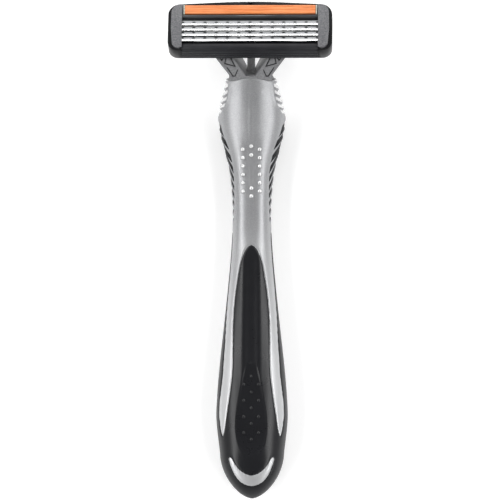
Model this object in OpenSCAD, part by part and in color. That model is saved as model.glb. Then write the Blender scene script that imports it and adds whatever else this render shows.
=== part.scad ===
// Four-blade cartridge razor, lying on the back of its handle.
// X runs along the blades, +Y from the butt of the handle to the head, +Z up from the surface it lies on.
// The origin is the bottom centre of the whole razor. All sizes are in millimetres.

/* [Cartridge] */
// Width of the cartridge along the blades
head_w = 43; // [42:0.5:44]
// Angle between the shaving face and the surface the razor lies on
head_tilt = 22; // [20:0.5:23]
// Distance from one cutting edge to the next
blade_pitch = 1.52; // [1.5:0.01:1.54]
// Angle between each blade and the shaving face
blade_angle = 18; // [16:1:20]
// Travel of each blade into the cartridge
blade_travel = 0.35; // [0.2:0.05:0.35]
// Radius of the pivot pins that carry the cartridge
pivot_r = 1; // [0.8:0.05:1.1]

/* [Neck] */
// Angle at which the neck rises from the handle
neck_tilt = 20; // [19:0.5:21]
// Width of the shank that plugs into the handle
shank_w = 7; // [6:0.1:7.4]
// Thickness of the shank
shank_t = 3.8; // [3.4:0.1:4]
// Length of the shank
shank_l = 16; // [13:0.5:16]
// Gap between the shank and its socket on each side
shank_gap = 0.06; // [0.04:0.01:0.1]

/* [Handle] */
// Depth of the rubber let into the handle
rubber_t = 1.2; // [1:0.1:1.4]
// Thickness of the silver skin over the core
skin_t = 2.2; // [2:0.1:2.4]
// Rings along the handle
rings = 46; // [36:2:60]
// Corners round each ring
sides = 32; // [24:4:40]

/* [Hidden] */
$fn = 48;
eps = 0.01;

// Colours
silver = [0.68, 0.69, 0.71];
rubber_black = [0.09, 0.09, 0.10];
plastic_black = [0.07, 0.07, 0.08];
yoke_grey = [0.42, 0.42, 0.44];
cap_grey = [0.33, 0.33, 0.36];
steel = [0.82, 0.83, 0.85];
orange = [0.93, 0.50, 0.25];

// ---------------------------------------------------------------- the handle's shape

// Stations along the handle, butt to neck: [y, half width, back z, front z]
stations = [
    [-54,  8.5,  0.3, 12.0],
    [-45,  9.45, -0.35, 12.9],
    [-38,  9.2,  0.1, 12.8],
    [-30,  8.5,  0.7, 12.4],
    [-20,  7.4,  1.4, 11.9],
    [-10,  6.35, 2.0, 11.4],
    [  0,  5.45, 2.3, 11.1],
    [  8,  5.1,  2.2, 11.1],
    [ 16,  5.45, 1.5, 11.5],
    [ 22,  6.25, 0.6, 12.0],
    [ 28,  7.9, -0.25, 12.6],
    [ 34,  8.95, 0.1, 13.2],
    [ 38,  8.45, 2.2, 13.6],
    [ 41,  7.75, 4.5, 14.0],
    [ 45,  6.7,  7.6, 15.4],
    [ 50,  5.9, 11.0, 17.2],
];
butt_y = -66.0;    // tip of the handle
butt_z = 6.2;      // height of that tip
front_n = 2.3;     // squareness of the front half of a section
back_n = 2.6;      // squareness of the back half
last = len(stations) - 1;

// Slope of a station's column c, from its two neighbours
function slope(i, c) =
    let (a = max(i - 1, 0), b = min(i + 1, last))
    (stations[b][c] - stations[a][c]) / (stations[b][0] - stations[a][0]);

// The station that y follows
function before(y, i = 0) = (i >= last - 1 || y < stations[i + 1][0]) ? i : before(y, i + 1);

// Column c at y, on a smooth curve through the stations
function along(y, c) =
    let (i = before(y),
         y0 = stations[i][0], d = stations[i + 1][0] - y0, t = (y - y0) / d,
         a = stations[i][c], b = stations[i + 1][c])
    a * (1 + 2 * t) * pow(1 - t, 2) + slope(i, c) * d * t * pow(1 - t, 2)
    + b * t * t * (3 - 2 * t) + slope(i + 1, c) * d * t * t * (t - 1);

// Below the first station the handle closes in a blunt point
function closing(y, tip) = pow(max(1 - pow((stations[0][0] - y) / (stations[0][0] - tip), 1.8), 0), 0.62);
function half_w(y, tip) = y < stations[0][0] ? stations[0][1] * closing(y, tip) : along(y, 1);
function back_z(y, tip) = y < stations[0][0]
    ? butt_z + (stations[0][2] - butt_z) * closing(y, tip) : along(y, 2);
function front_z(y, tip) = y < stations[0][0]
    ? butt_z + (stations[0][3] - butt_z) * closing(y, tip) : along(y, 3);

// Signed power, for the squarish ring
function bulge(x, n) = sign(x) * pow(abs(x), 2 / n);

// One point of the ring at y, at angle a from +X, taken in by inset
function ring_point(y, a, inset, tip) =
    let (lo = back_z(y, tip), hi = front_z(y, tip), mid = (lo + hi) / 2,
         n = sin(a) >= 0 ? front_n : back_n, half = (hi - lo) / 2)
    [max(half_w(y, tip) - inset, eps) * bulge(cos(a), n), y,
     mid + max(half - inset, eps) * bulge(sin(a), n)];

// Places of the rings, close together where the butt curves in
neck_end = 50;
function ring_y(i, tip) =
    let (t = i / (rings - 1), butt_share = 0.2)
    t < butt_share
        ? tip + (stations[0][0] - tip) * pow(t / butt_share, 1.8) + eps
        : stations[0][0] + (neck_end - stations[0][0]) * (t - butt_share) / (1 - butt_share);

// Solid inside the handle's surface, taken in by inset
module handle_solid(inset = 0) {
    tip = butt_y + inset;
    points = [for (i = [0:rings - 1]) for (j = [0:sides - 1])
              ring_point(ring_y(i, tip), 360 * j / sides, inset, tip)];
    walls = [for (i = [0:rings - 2]) for (j = [0:sides - 1])
             let (k = (j + 1) % sides, a = i * sides)
             each [[a + j, a + k, a + sides + k], [a + j, a + sides + k, a + sides + j]]];
    ends = [[for (j = [sides - 1:-1:0]) j], [for (j = [0:sides - 1]) (rings - 1) * sides + j]];
    polyhedron(points, concat(walls, ends), convexity = 6);
}

// Evaluates its children as one mesh, which suits the handle's free-form surfaces
module as_one_mesh() resize([0, 0, 0]) children();

// ---------------------------------------------------------------- where the rubber lies

// Half outline of the front rubber, a teardrop that opens into the butt: [y, half width]
teardrop = [[1.2, 0], [0.6, 1.0], [-1, 1.9], [-3, 2.65], [-8, 3.7], [-13, 4.45], [-18, 4.9],
            [-29, 4.95], [-33, 5.1], [-37, 5.6], [-42, 6.35], [-45, 6.85], [-47.5, 7.2], [-48.9, 7.7]];
// Outer edge of the silver beside it, from the tip of the leaf up to where it meets the side
leaf_edge = [[-48.9, 7.8], [-47.2, 8.35], [-44.5, 8.65], [-42, 8.8], [-39, 8.65], [-36, 8.25],
             [-33, 7.75], [-29, 7.4], [-24, 7.05], [-18, 6.75], [-12, 6.3], [-6, 5.75], [0, 5.3],
             [4, 5.12], [6, 5.3], [7, 9]];
// Half outline of the silver crescent near the butt, round its tip from the outer to the inner edge
crescent = [[0, -62.5], [1.6, -62.15], [3.35, -61.05], [4.66, -59.25], [5.55, -57.25], [6.03, -55.4],
            [5.95, -54.95], [5.6, -54.85], [5.3, -55.15], [4.66, -56.3], [3.56, -57.85], [2.24, -58.95],
            [0.92, -59.55], [0, -59.7]];
// Lower limit of the silver on the sides, seen from the side: [y, z]
side_edge = [[-70, 6.6], [-12, 6.7], [0, 6.4], [8, 5.0], [16, 3.6], [26, 3.3], [32, 3.6], [36, 3.2], [38, -3]];

module silver_outline() {
    // the whole front above the teardrop, running down as a leaf on each side
    for (s = [-1, 1]) scale([s, 1])
        polygon(concat([[0, 60], [0, 1.2]], [for (p = teardrop) [p[1], p[0]]],
                       [for (p = leaf_edge) [p[1], p[0]]], [[12, 7], [12, 60]]));
    for (s = [-1, 1]) scale([s, 1]) polygon(crescent);
}

// Space whose part of the handle's surface is silver
module silver_space() {
    intersection() {
        linear_extrude(height = 40) silver_outline();
        rotate([90, 0, 90]) linear_extrude(height = 40, center = true)
            polygon(concat(side_edge, [[38, -5], [60, -5], [60, 40], [-70, 40]]));
    }
}

// Height of the front surface at (x, y)
function front_at(x, y) =
    let (mid = (back_z(y, butt_y) + front_z(y, butt_y)) / 2)
    mid + (front_z(y, butt_y) - mid) * pow(1 - pow(x / half_w(y, butt_y), front_n), 1 / front_n);

// Slanted rubber fins that wrap from the back round both sides of the shoulder and waist.
// Each runs inwards over the front as far as a tip: [x, y, slant, thickness]
fin_tips = [[7.7, 30.7, 36, 1.45], [6.15, 26.8, 40, 1.1], [5.25, 23.2, 48, 0.95], [4.85, 20.4, 55, 0.8],
            [4.75, 18.0, 58, 0.7], [4.7, 15.8, 58, 0.66], [4.7, 13.7, 56, 0.66], [4.75, 11.6, 52, 0.66],
            [4.8, 9.5, 50, 0.66], [4.85, 7.4, 48, 0.66]];
module fin_space() {
    for (s = [-1, 1]) scale([s, 1, 1]) intersection() {
        for (i = [0:len(fin_tips) - 1]) let (t = fin_tips[i])
            translate([t[0], t[1] + 0.4, front_at(t[0], t[1])]) rotate([16, 0, t[2]])
                cube([60, t[3], 60], center = true);
        union() {
            translate([0, 0, 6.4]) linear_extrude(height = 12)
                polygon(concat([[20, 36], [9.2, 36]], [for (t = fin_tips) [t[0], t[1]]], [[5.1, 4], [20, 4]]));
            translate([0, 4, 2]) cube([20, 33, 4.5]);
        }
    }
}

// ---------------------------------------------------------------- the neck's own axes

// Middle of the seam between handle and yoke
neck_y = 44.6;
neck_z = 11.6;
module in_neck() translate([0, neck_y, neck_z]) rotate([neck_tilt, 0, 0]) children();

// Seam between handle and yoke: flat in the middle, falling away to both sides
module seam_outline(grow = 0) {
    polygon([[-20, 1.75 - 2.5 + grow], [-6.5, 0.5 + grow], [-1.3, 1.75 + grow], [1.3, 1.75 + grow],
             [6.5, 0.5 + grow], [20, 1.75 - 2.5 + grow], [20, 30], [-20, 30]]);
}
module beyond_seam() in_neck() translate([0, 0, -20]) linear_extrude(height = 40) seam_outline();

// The socket, and the pocket of the detent spring in its back wall
socket_end = -shank_l - 0.6;
pocket = [3.6, 9.2, 1.3];
pocket_y = -15.4;
module socket_space() {
    in_neck() {
        translate([-shank_w / 2 - shank_gap, socket_end, -shank_t / 2 - shank_gap])
            cube([shank_w + 2 * shank_gap, 30, shank_t + 2 * shank_gap]);
        translate([-pocket[0] / 2, pocket_y, -shank_t / 2 - pocket[2]])
            cube([pocket[0], pocket[1], pocket[2] + 0.5]);
    }
}

// Everything below the surface that the razor lies on
module below_floor() translate([-50, -100, -10]) cube([100, 200, 10]);

// ---------------------------------------------------------------- handle

// Middle of the razor's length, which the origin lies under
module in_row() translate([0, -mid_y, 0]) children();

module handle_core() {
    color("dimgray") as_one_mesh() difference() {
        handle_solid(skin_t);
        beyond_seam();
        socket_space();
    }
}

nub_r = 0.62;
nub_pitch = 2.2;
nub_top_y = 26.4;
// Places of the raised nubs: two rows of six, with two more above and below between them
nub_places = concat([for (s = [-1, 1]) for (i = [0:5]) [s * 2.25, nub_top_y - nub_pitch * i]],
                    [for (y = [0.8, -1.5, -10.2, -12.3]) [0, nub_top_y + y]]);
module nubs() {
    for (p = nub_places)
        translate([p[0], p[1], front_z(p[1], butt_y) - 0.28]) sphere(nub_r, $fn = 10);
}

// Ribs on the silver shoulders: grooves cut down the flanks
groove_count = 5;
module shoulder_grooves() {
    for (s = [-1, 1]) for (i = [0:groove_count - 1])
        let (y = 43.1 - 1.6 * i, x = 6.9 + 0.42 * i)
        translate([s * (x + 0.6), y, 7]) rotate([0, 0, -s * 48]) cube([2.6, 0.7, 18], center = true);
}

module handle_skin() {
    color(silver) difference() {
        as_one_mesh() difference() {
            union() {
                difference() {
                    handle_solid();
                    shoulder_grooves();
                }
                nubs();
            }
            handle_solid(skin_t);
            rubber_space();
            beyond_seam();
            socket_space();
        }
        below_floor();
    }
}

// The rubber's own volume: a layer under the surface, wherever it isn't silver
module rubber_space() {
    difference() {
        union() {
            difference() {
                handle_solid(-0.02);
                silver_space();
                translate([-20, 36, -20]) cube(60);
            }
            intersection() {
                handle_solid(-0.02);
                fin_space();
            }
        }
        handle_solid(rubber_t);
    }
}

pad_nub_pitch = 4.15;
pad_nub_top_y = -33.3;
// Nubs of the thumb pad: one row of five, and three on each side between them
pad_nubs = concat([for (i = [0:4]) [0, pad_nub_top_y - pad_nub_pitch * i]],
                  [for (s = [-1, 1]) for (i = [0:3]) [s * 1.95, pad_nub_top_y - pad_nub_pitch * (i + 0.5)]]);

module rubber_grip() {
    color(rubber_black) difference() {
        as_one_mesh() union() {
            intersection() {
                handle_solid();
                rubber_space();
            }
            for (p = pad_nubs)
                translate([p[0], p[1], front_z(p[1], butt_y) - 0.35]) sphere(0.6, $fn = 10);
        }
        below_floor();
    }
}

// Leaf spring in the socket's back wall, whose crown sits in a notch of the shank
spring_t = 0.3;
notch_y = -10.8;
module detent_spring() {
    color(steel) in_neck() rotate([90, 0, 90]) linear_extrude(height = 3.2, center = true)
        polygon([[-15.2, -3.2], [-13.4, -3.2], [-11.4, -1.95], [-10.8, -1.7], [-10.2, -1.95], [-8.2, -3.2],
                 [-6.4, -3.2], [-6.4, -3.2 + spring_t], [-8.1, -3.2 + spring_t], [-10.05, -1.67],
                 [-10.8, -1.7 + spring_t], [-11.55, -1.67], [-13.5, -3.2 + spring_t],
                 [-15.2, -3.2 + spring_t]]);
}

// ---------------------------------------------------------------- cartridge axes and the pivot

// The cartridge's own axes: u along the blades, v from guard to cap, w out of the shaving face.
// Their origin is the front edge of the guard, at the level of the cutting edges.
guard_y = 52.5;
guard_z = 22.8;
module in_cartridge() translate([0, guard_y, guard_z]) rotate([-head_tilt, 0, 0]) children();

// A section drawn in (v, w), run along the blades from one u to another
module run(u0, u1) translate([u0, 0, 0]) rotate([90, 0, 90]) linear_extrude(height = u1 - u0) children();

// A box given by two corners
module block(a, b) translate(a) cube([b[0] - a[0], b[1] - a[1], b[2] - a[2]]);

pivot_v = 5.2;
pivot_w = -7.6;
pivot_gap = 0.05;
pivot_y = guard_y + pivot_v * cos(head_tilt) + pivot_w * sin(head_tilt);
pivot_z = guard_z - pivot_v * sin(head_tilt) + pivot_w * cos(head_tilt);
// The pivot in the neck's axes
pivot_ny = (pivot_y - neck_y) * cos(neck_tilt) + (pivot_z - neck_z) * sin(neck_tilt);
pivot_nz = -(pivot_y - neck_y) * sin(neck_tilt) + (pivot_z - neck_z) * cos(neck_tilt);

// ---------------------------------------------------------------- yoke

yoke_front = 3.4;
yoke_back = -3.5;
arm_out = 11.3;
arm_tip_r = 1.85;
pin_end = 14.1;
// Outline of the right arm's outer edge and of the notch between the arms, in (x, y) of the neck
arm_edge = [[5.55, 0.2], [5.7, 2.6], [9.0, 7.1], [arm_out, 9.2], [arm_out, 13]];
notch = [[1.3, 2.2], [6.5, 10], [6.5, 14]];
notch_draft = 1.7;

module arm_profile() {
    // side view, in (y, z) of the neck: level faces, then a slope under the cartridge, then a round tip
    polygon([[-1, yoke_back], [-1, yoke_front], [6.9, yoke_front], [9.35, 1.2],
             [pivot_ny + 0.2, pivot_nz], [pivot_ny - 1.2, -2.9], [6.5, yoke_back]]);
    translate([pivot_ny, pivot_nz]) circle(arm_tip_r);
}

module notch_space() {
    hull() {
        for (k = [0, 1]) let (in = k * notch_draft, z = k ? yoke_back - 0.5 : yoke_front + 0.5)
            translate([0, 0, z]) linear_extrude(height = 0.01)
                polygon(concat([for (p = notch) [max(p[0] - in, 0.6), p[1]]],
                               [for (i = [2:-1:0]) [-max(notch[i][0] - in, 0.6), notch[i][1]]]));
    }
}

tongue_root = [46.3, 11.6];
tongue_root_r = 0.75;
module at_tongue_root() translate([0, tongue_root[0], tongue_root[1]]) children();

// Bearing for the root of the tongue, and the slot it swings in
module tongue_seat() {
    at_tongue_root() {
        rotate([0, 90, 0]) cylinder(r = tongue_root_r + 0.05, h = 2.6, center = true);
        translate([-1.25, 0, -1.6]) cube([2.5, 4, 1.6 + tongue_root_r]);
    }
}

// Fine lines engraved in the front of each arm: a triangle and a V, with a small V above
arm_lines = [[[6.76, 5.75], [6.1, 8.6]], [[6.76, 5.75], [4.08, 5.0]], [[4.08, 5.0], [5.7, 8.3]],
             [[6.1, 4.55], [4.66, 2.3]], [[4.66, 2.3], [4.08, 2.3]], [[4.08, 2.3], [3.4, 3.95]],
             [[8.1, 7.4], [7.5, 6.6]], [[7.5, 6.6], [6.95, 7.5]]];
line_w = 0.3;
line_depth = 0.45;
module engraved_lines() {
    in_neck() for (s = [-1, 1]) for (l = arm_lines)
        let (d = l[1] - l[0], run = norm(d))
        translate([s * l[0][0], l[0][1], yoke_front - line_depth]) rotate([0, 0, atan2(d[1], s * d[0])])
            translate([-line_w / 2, -line_w / 2, 0]) cube([run + line_w, line_w, 1]);
}

module yoke() {
    color(yoke_grey) {
        difference() {
            in_neck() intersection() {
                rotate([90, 0, 90]) linear_extrude(height = 40, center = true) arm_profile();
                difference() {
                    translate([0, 0, -10]) linear_extrude(height = 20)
                        polygon(concat(arm_edge, [for (i = [4:-1:0]) [-arm_edge[i][0], arm_edge[i][1]]]));
                    translate([0, 0, -11]) linear_extrude(height = 22) difference() {
                        translate([-20, -20]) square([40, 25]);
                        seam_outline(0.05);
                    }
                    notch_space();
                }
            }
            tongue_seat();
            engraved_lines();
        }
        difference() {
            shank();
            tongue_seat();
        }
        for (s = [-1, 1]) translate([s * (arm_out - 1), pivot_y, pivot_z]) rotate([0, s * 90, 0])
            cylinder(r = pivot_r, h = pin_end - arm_out + 1);
    }
}

// The shank, with a chamfered end and the notch for the detent spring
module shank() {
    in_neck() difference() {
        intersection() {
            translate([0, 0, -shank_t / 2]) linear_extrude(height = shank_t)
                polygon([[-shank_w / 2, 2.15], [-shank_w / 2, 1.5 - shank_l], [1 - shank_w / 2, -shank_l],
                         [shank_w / 2 - 1, -shank_l], [shank_w / 2, 1.5 - shank_l], [shank_w / 2, 2.15]]);
            rotate([90, 0, 90]) linear_extrude(height = 20, center = true)
                polygon([[3, -shank_t / 2], [3, shank_t / 2], [1.2 - shank_l, shank_t / 2],
                         [-shank_l, shank_t / 2 - 0.9], [-shank_l, 0.9 - shank_t / 2],
                         [1.2 - shank_l, -shank_t / 2]]);
        }
        translate([-5, notch_y - 1.55, -shank_t / 2 - 1]) cube([10, 3.1, 1.7]);
    }
}

// The sprung tongue, which bears on the nose of the rear bridge
nose_v = pivot_v + 2.6;
nose_w = pivot_w + 0.2;
nose_r = 0.6;
tongue_t = 0.9;
tongue_w = 2.05;
tongue_rise = 1.7;
tongue_l = 10.5;
module return_tongue() {
    color(yoke_grey) at_tongue_root() rotate([tongue_rise, 0, 0]) {
        rotate([0, 90, 0]) cylinder(r = tongue_root_r, h = 2.3, center = true);
        translate([-tongue_w / 2, 0, -tongue_t / 2]) cube([tongue_w, tongue_l, tongue_t]);
        translate([0, tongue_l, 0]) rotate([0, 90, 0]) cylinder(r = tongue_t / 2, h = tongue_w, center = true);
    }
}

// ---------------------------------------------------------------- cartridge

half_head = head_w / 2;
bay_half = 18.3;          // half the length of the blade bay
bay_v = [1.75, 8.45];     // its two edges
face_w = -0.45;           // level of the frame's front
back_w = -5.3;            // level of its back
top_v = 13.0;             // top of the frame at its corners
crown = 0.7;              // rise of the top edge in the middle
foot_v = -0.35;           // lower face of the frame
corner_r = 2.6;

// Outline of the frame: round corners and a top edge that rises in the middle
module frame_outline() {
    hull() {
        for (s = [-1, 1]) {
            translate([s * (half_head - corner_r), foot_v + corner_r]) circle(corner_r, $fn = 32);
            translate([s * (half_head - 3.1), top_v - 3.1]) circle(3.1, $fn = 32);
        }
        polygon([for (i = [-8:8]) [i * 2.1, top_v + crown * (1 - pow(i / 8, 2)) - 0.02]]);
    }
}

// The two end combs and the middle one, as pairs of u
combs = [[-17.8, -14.7], [-1.3, 1.3], [14.7, 17.8]];
comb_w = -1.25;
leg_v = [1.3, 1.54];       // the support's leg, measured from its cutting edge
leg_end = -3.3;
function edge_v(i) = 2.2 + blade_pitch * i;
mid_y = (butt_y + eps + guard_y + (top_v + crown - 0.02) * cos(head_tilt) + face_w * sin(head_tilt)) / 2;

module cartridge_frame() {
    color(plastic_black) in_cartridge() {
        difference() {
            translate([0, 0, back_w]) linear_extrude(height = face_w - back_w) frame_outline();
            block([-bay_half, bay_v[0], back_w - 1], [bay_half, bay_v[1], 1]);
            // seat of the strip holder
            block([-17.9, 8.9, -2.05], [17.9, 12.75, 1]);
            // seat of the guard: the front edge of the frame is cut back
            block([-17.85, foot_v - 1, -4.75], [17.85, 0.25, 1]);
            block([-17.85, foot_v - 1, -0.95], [17.85, 1.6, 1]);
            // small recess in the middle of the top edge
            block([-0.5, 12.9, -1.1], [0.5, 13.35, 1]);
        }
        for (c = combs) comb(c[0], c[1], c[0] == -1.3 ? back_w : -3.3);
        // cross bar behind the first blade
        block([-bay_half - 0.1, 3.45, back_w], [bay_half + 0.1, 4.35, -4.7]);
    }
}

// Teeth between the blade supports, joined by a bar at each end
module comb(u0, u1, floor_w) {
    slots = [for (i = [0:3]) edge_v(i) + leg_v[0] - 0.08];
    gap = leg_v[1] - leg_v[0] + 0.16;
    starts = concat([bay_v[0] - 0.1], [for (s = slots) s + gap]);
    ends = concat(slots, [bay_v[1] + 0.1]);
    for (i = [0:4])
        block([u0, starts[i], max(floor_w, -3.95)], [u1, ends[i], comb_w]);
    if (floor_w < -4) block([u0, bay_v[0] - 0.1, back_w], [u1, bay_v[1] + 0.1, -3.95]);
    wall = u0 < 0 ? [-bay_half - 0.1, u0] : [u1, bay_half + 0.1];
    if (floor_w > -4) for (s = [0:4])
        // the end combs stand on the wall of the bay
        block([wall[0], starts[s], -3.3], [wall[1], ends[s], comb_w]);
}

// Bridge on the back of the frame: bearings for the pivot pins, and the nose that the tongue pushes
bridge_t = 1.2;
module rear_bridge() {
    color(plastic_black) in_cartridge() {
        difference() {
            union() {
                block([-14.6, 8.6, back_w - bridge_t], [14.6, 12.3, back_w]);
                for (s = [-1, 1]) scale([s, 1, 1]) {
                    block([11.7, pivot_v - 1.9, back_w - bridge_t], [14.6, 8.7, back_w]);
                    block([11.7, pivot_v - 1.9, pivot_w], [14.6, pivot_v + 1.9, back_w - 1]);
                    translate([11.7, pivot_v, pivot_w]) rotate([0, 90, 0]) cylinder(r = 1.9, h = 2.9);
                }
                block([-1.2, nose_v - nose_r, nose_w], [1.2, nose_v + nose_r, back_w]);
                block([-1.2, nose_v, back_w - bridge_t], [1.2, 9, back_w]);
                translate([-1.2, nose_v, nose_w]) rotate([0, 90, 0]) cylinder(r = nose_r, h = 2.4);
            }
            translate([0, pivot_v, pivot_w]) rotate([0, 90, 0])
                cylinder(r = pivot_r + pivot_gap, h = 40, center = true);
        }
    }
}

// Rubber guard: a smooth edge, then four fins round the front
module guard() {
    color(rubber_black) in_cartridge() run(-17.8, 17.8)
        polygon([[1.6, -0.95], [1.6, -0.42], [1.2, -0.3], [0.7, -0.3], [0.25, -0.42], [0.0, -0.65],
                 [0.05, -0.95], [-0.25, -1.05], [-0.45, -1.3], [-0.45, -1.5], [-0.15, -1.8],
                 [-0.5, -2.0], [-0.7, -2.25], [-0.65, -2.5], [-0.25, -2.75], [-0.6, -2.95], [-0.8, -3.2], [-0.75, -3.45], [-0.35, -3.7],
                 [-0.65, -3.9], [-0.8, -4.15], [-0.7, -4.5], [-0.35, -4.75], [0.25, -4.75], [0.25, -0.95]]);
}

// Glossy tray that holds the strip; its front rail stands between strip and blades
module strip_holder() {
    color(plastic_black) in_cartridge() {
        run(-17.85, 17.85)
            polygon([[8.95, -2.0], [8.95, -0.3], [9.15, -0.02], [9.55, 0.08], [9.8, -0.1], [9.85, -1.25],
                     [12.6, -1.25], [12.6, -0.6], [12.72, -0.6], [12.72, -2.0]]);
        for (s = [-1, 1]) scale([s, 1, 1]) block([17.15, 9.3, -1.5], [17.85, 12.7, 0]);
    }
}

// Lubricating strip, slightly crowned, with two shallow grooves
module lubricating_strip() {
    color(orange) in_cartridge() run(-17.1, 17.1)
        polygon([[10.05, -1.2], [10.05, 0.05], [10.25, 0.18], [10.85, 0.28], [11.0, 0.16], [11.15, 0.29],
                 [11.75, 0.3], [11.9, 0.18], [12.05, 0.27], [12.35, 0.18], [12.5, 0.02], [12.5, -1.2]]);
}

// End caps: satin covers over the ends of the blades
cap_out = half_head - 0.8;
module end_cap() {
    intersection() {
        union() {
            block([18.35, 0, face_w], [half_head, top_v, 0.45]);
            block([17.8, 0, 0.06], [18.4, top_v, 0.45]);
        }
        translate([0, 0, -3]) linear_extrude(height = 6) hull() {
            translate([17.8, 0.4]) square([0.1, 12.2]);
            translate([cap_out - 2.4, 10.3]) circle(2.3, $fn = 32);
            translate([cap_out - 1.5, 6]) circle(1.5, $fn = 32);
            translate([cap_out - 2.0, 1.9]) circle(1.7, $fn = 32);
        }
    }
}
module end_cap_right() color(cap_grey) in_cartridge() end_cap();
module end_cap_left() color(cap_grey) in_cartridge() scale([-1, 1, 1]) end_cap();

// A point s along blade i and t off its middle plane, in (v, w)
function on_blade(i, s, t) = [edge_v(i) + s * cos(blade_angle) + t * sin(blade_angle),
                              -s * sin(blade_angle) + t * cos(blade_angle)];
blade_w = 1.45;
blade_t = 0.12;
bevel_w = 0.5;
blade_half = 18.1;

module blade(i) {
    color(steel) in_cartridge() run(-blade_half, blade_half)
        polygon([on_blade(i, 0, 0), on_blade(i, bevel_w, blade_t / 2), on_blade(i, blade_w, blade_t / 2),
                 on_blade(i, blade_w, -blade_t / 2), on_blade(i, bevel_w, -blade_t / 2)]);
}

// Bent steel support: a platform under the blade and a leg that slides in the combs
module blade_support(i) {
    color(steel) in_cartridge() run(-blade_half, blade_half)
        polygon([on_blade(i, 0.55, -blade_t / 2), on_blade(i, 1.43, -blade_t / 2),
                 [edge_v(i) + leg_v[1], -0.68], [edge_v(i) + leg_v[1], leg_end],
                 [edge_v(i) + leg_v[0], leg_end], [edge_v(i) + leg_v[0], -0.8],
                 on_blade(i, 0.55, -blade_t / 2 - 0.22)]);
}

// A pair of sprung fingers, one under each end of the leg
spring_w = 0.46;
module blade_springs(i) {
    v = edge_v(i) + (leg_v[0] + leg_v[1]) / 2;
    color(plastic_black) in_cartridge() for (s = [-1, 1]) scale([s, 1, 1]) {
        block([14.9, v - spring_w / 2, leg_end - 0.5], [bay_half, v + spring_w / 2, leg_end - 0.1]);
        block([14.9, v - spring_w / 2, leg_end - 0.3], [15.5, v + spring_w / 2, leg_end - 0.01]);
    }
}

// ---------------------------------------------------------------- one node at a time

in_row() {
    handle_core();
    handle_skin();
    rubber_grip();
    detent_spring();
    yoke();
    return_tongue();
    cartridge_frame();
    rear_bridge();
    guard();
    strip_holder();
    lubricating_strip();
    end_cap_left();
    end_cap_right();
    for (i = [0:3]) {
        blade_springs(i);
        blade_support(i);
        blade(i);
    }
}
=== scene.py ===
import math
import bmesh
import bpy
import numpy as np
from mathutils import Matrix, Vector


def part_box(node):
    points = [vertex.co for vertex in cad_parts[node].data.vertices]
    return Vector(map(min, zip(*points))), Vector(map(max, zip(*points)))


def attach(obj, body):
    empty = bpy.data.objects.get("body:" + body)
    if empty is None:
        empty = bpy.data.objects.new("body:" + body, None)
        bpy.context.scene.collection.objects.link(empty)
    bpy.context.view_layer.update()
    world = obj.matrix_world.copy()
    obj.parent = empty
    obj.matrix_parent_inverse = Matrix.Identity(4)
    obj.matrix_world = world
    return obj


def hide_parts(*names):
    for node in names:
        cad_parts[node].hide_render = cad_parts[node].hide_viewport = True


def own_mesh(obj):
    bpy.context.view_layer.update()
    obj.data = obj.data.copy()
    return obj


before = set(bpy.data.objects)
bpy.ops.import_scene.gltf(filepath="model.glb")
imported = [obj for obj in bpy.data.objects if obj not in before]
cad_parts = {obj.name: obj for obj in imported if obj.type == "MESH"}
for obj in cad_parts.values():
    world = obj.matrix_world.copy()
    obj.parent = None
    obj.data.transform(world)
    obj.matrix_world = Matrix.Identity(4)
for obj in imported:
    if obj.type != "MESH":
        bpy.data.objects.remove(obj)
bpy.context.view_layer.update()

MM = 0.001

# ---------------------------------------------------------------- where things are
# Sizes below are in millimetres in the part's own axes; SHIFT carries them into the row frame.
BUTT_Y = -66.0
PACK_GAP = 0.01
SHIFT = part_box("rubber_grip")[0].y / MM - BUTT_Y - PACK_GAP
HEAD_TILT, NECK_TILT = math.radians(22), math.radians(20)
# (y, z) of the cartridge axes' origin and of the neck axes' origin
GUARD = (52.5, 22.8)
NECK = (44.6, 11.6)


def row(p):
    """Part millimetres to row metres, for an array of points."""
    p = np.asarray(p, float)
    return (p + np.array([0, SHIFT, 0])) * MM


def head(p):
    """Cartridge axes (u, v, w) to row metres."""
    p = np.asarray(p, float).reshape(-1, 3)
    c, s = math.cos(HEAD_TILT), math.sin(HEAD_TILT)
    return row(np.c_[p[:, 0], GUARD[0] + p[:, 1] * c + p[:, 2] * s, GUARD[1] - p[:, 1] * s + p[:, 2] * c])


# ---------------------------------------------------------------- material helpers
def set_stops(ramp, stops):
    """Sets a colour ramp's stops, given from low to high as (position, colour)."""
    while len(ramp.elements) < len(stops):
        ramp.elements.new(0.5)
    for element, (position, colour) in zip(ramp.elements, stops):
        element.position = position
        element.color = (*colour, 1)


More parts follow.
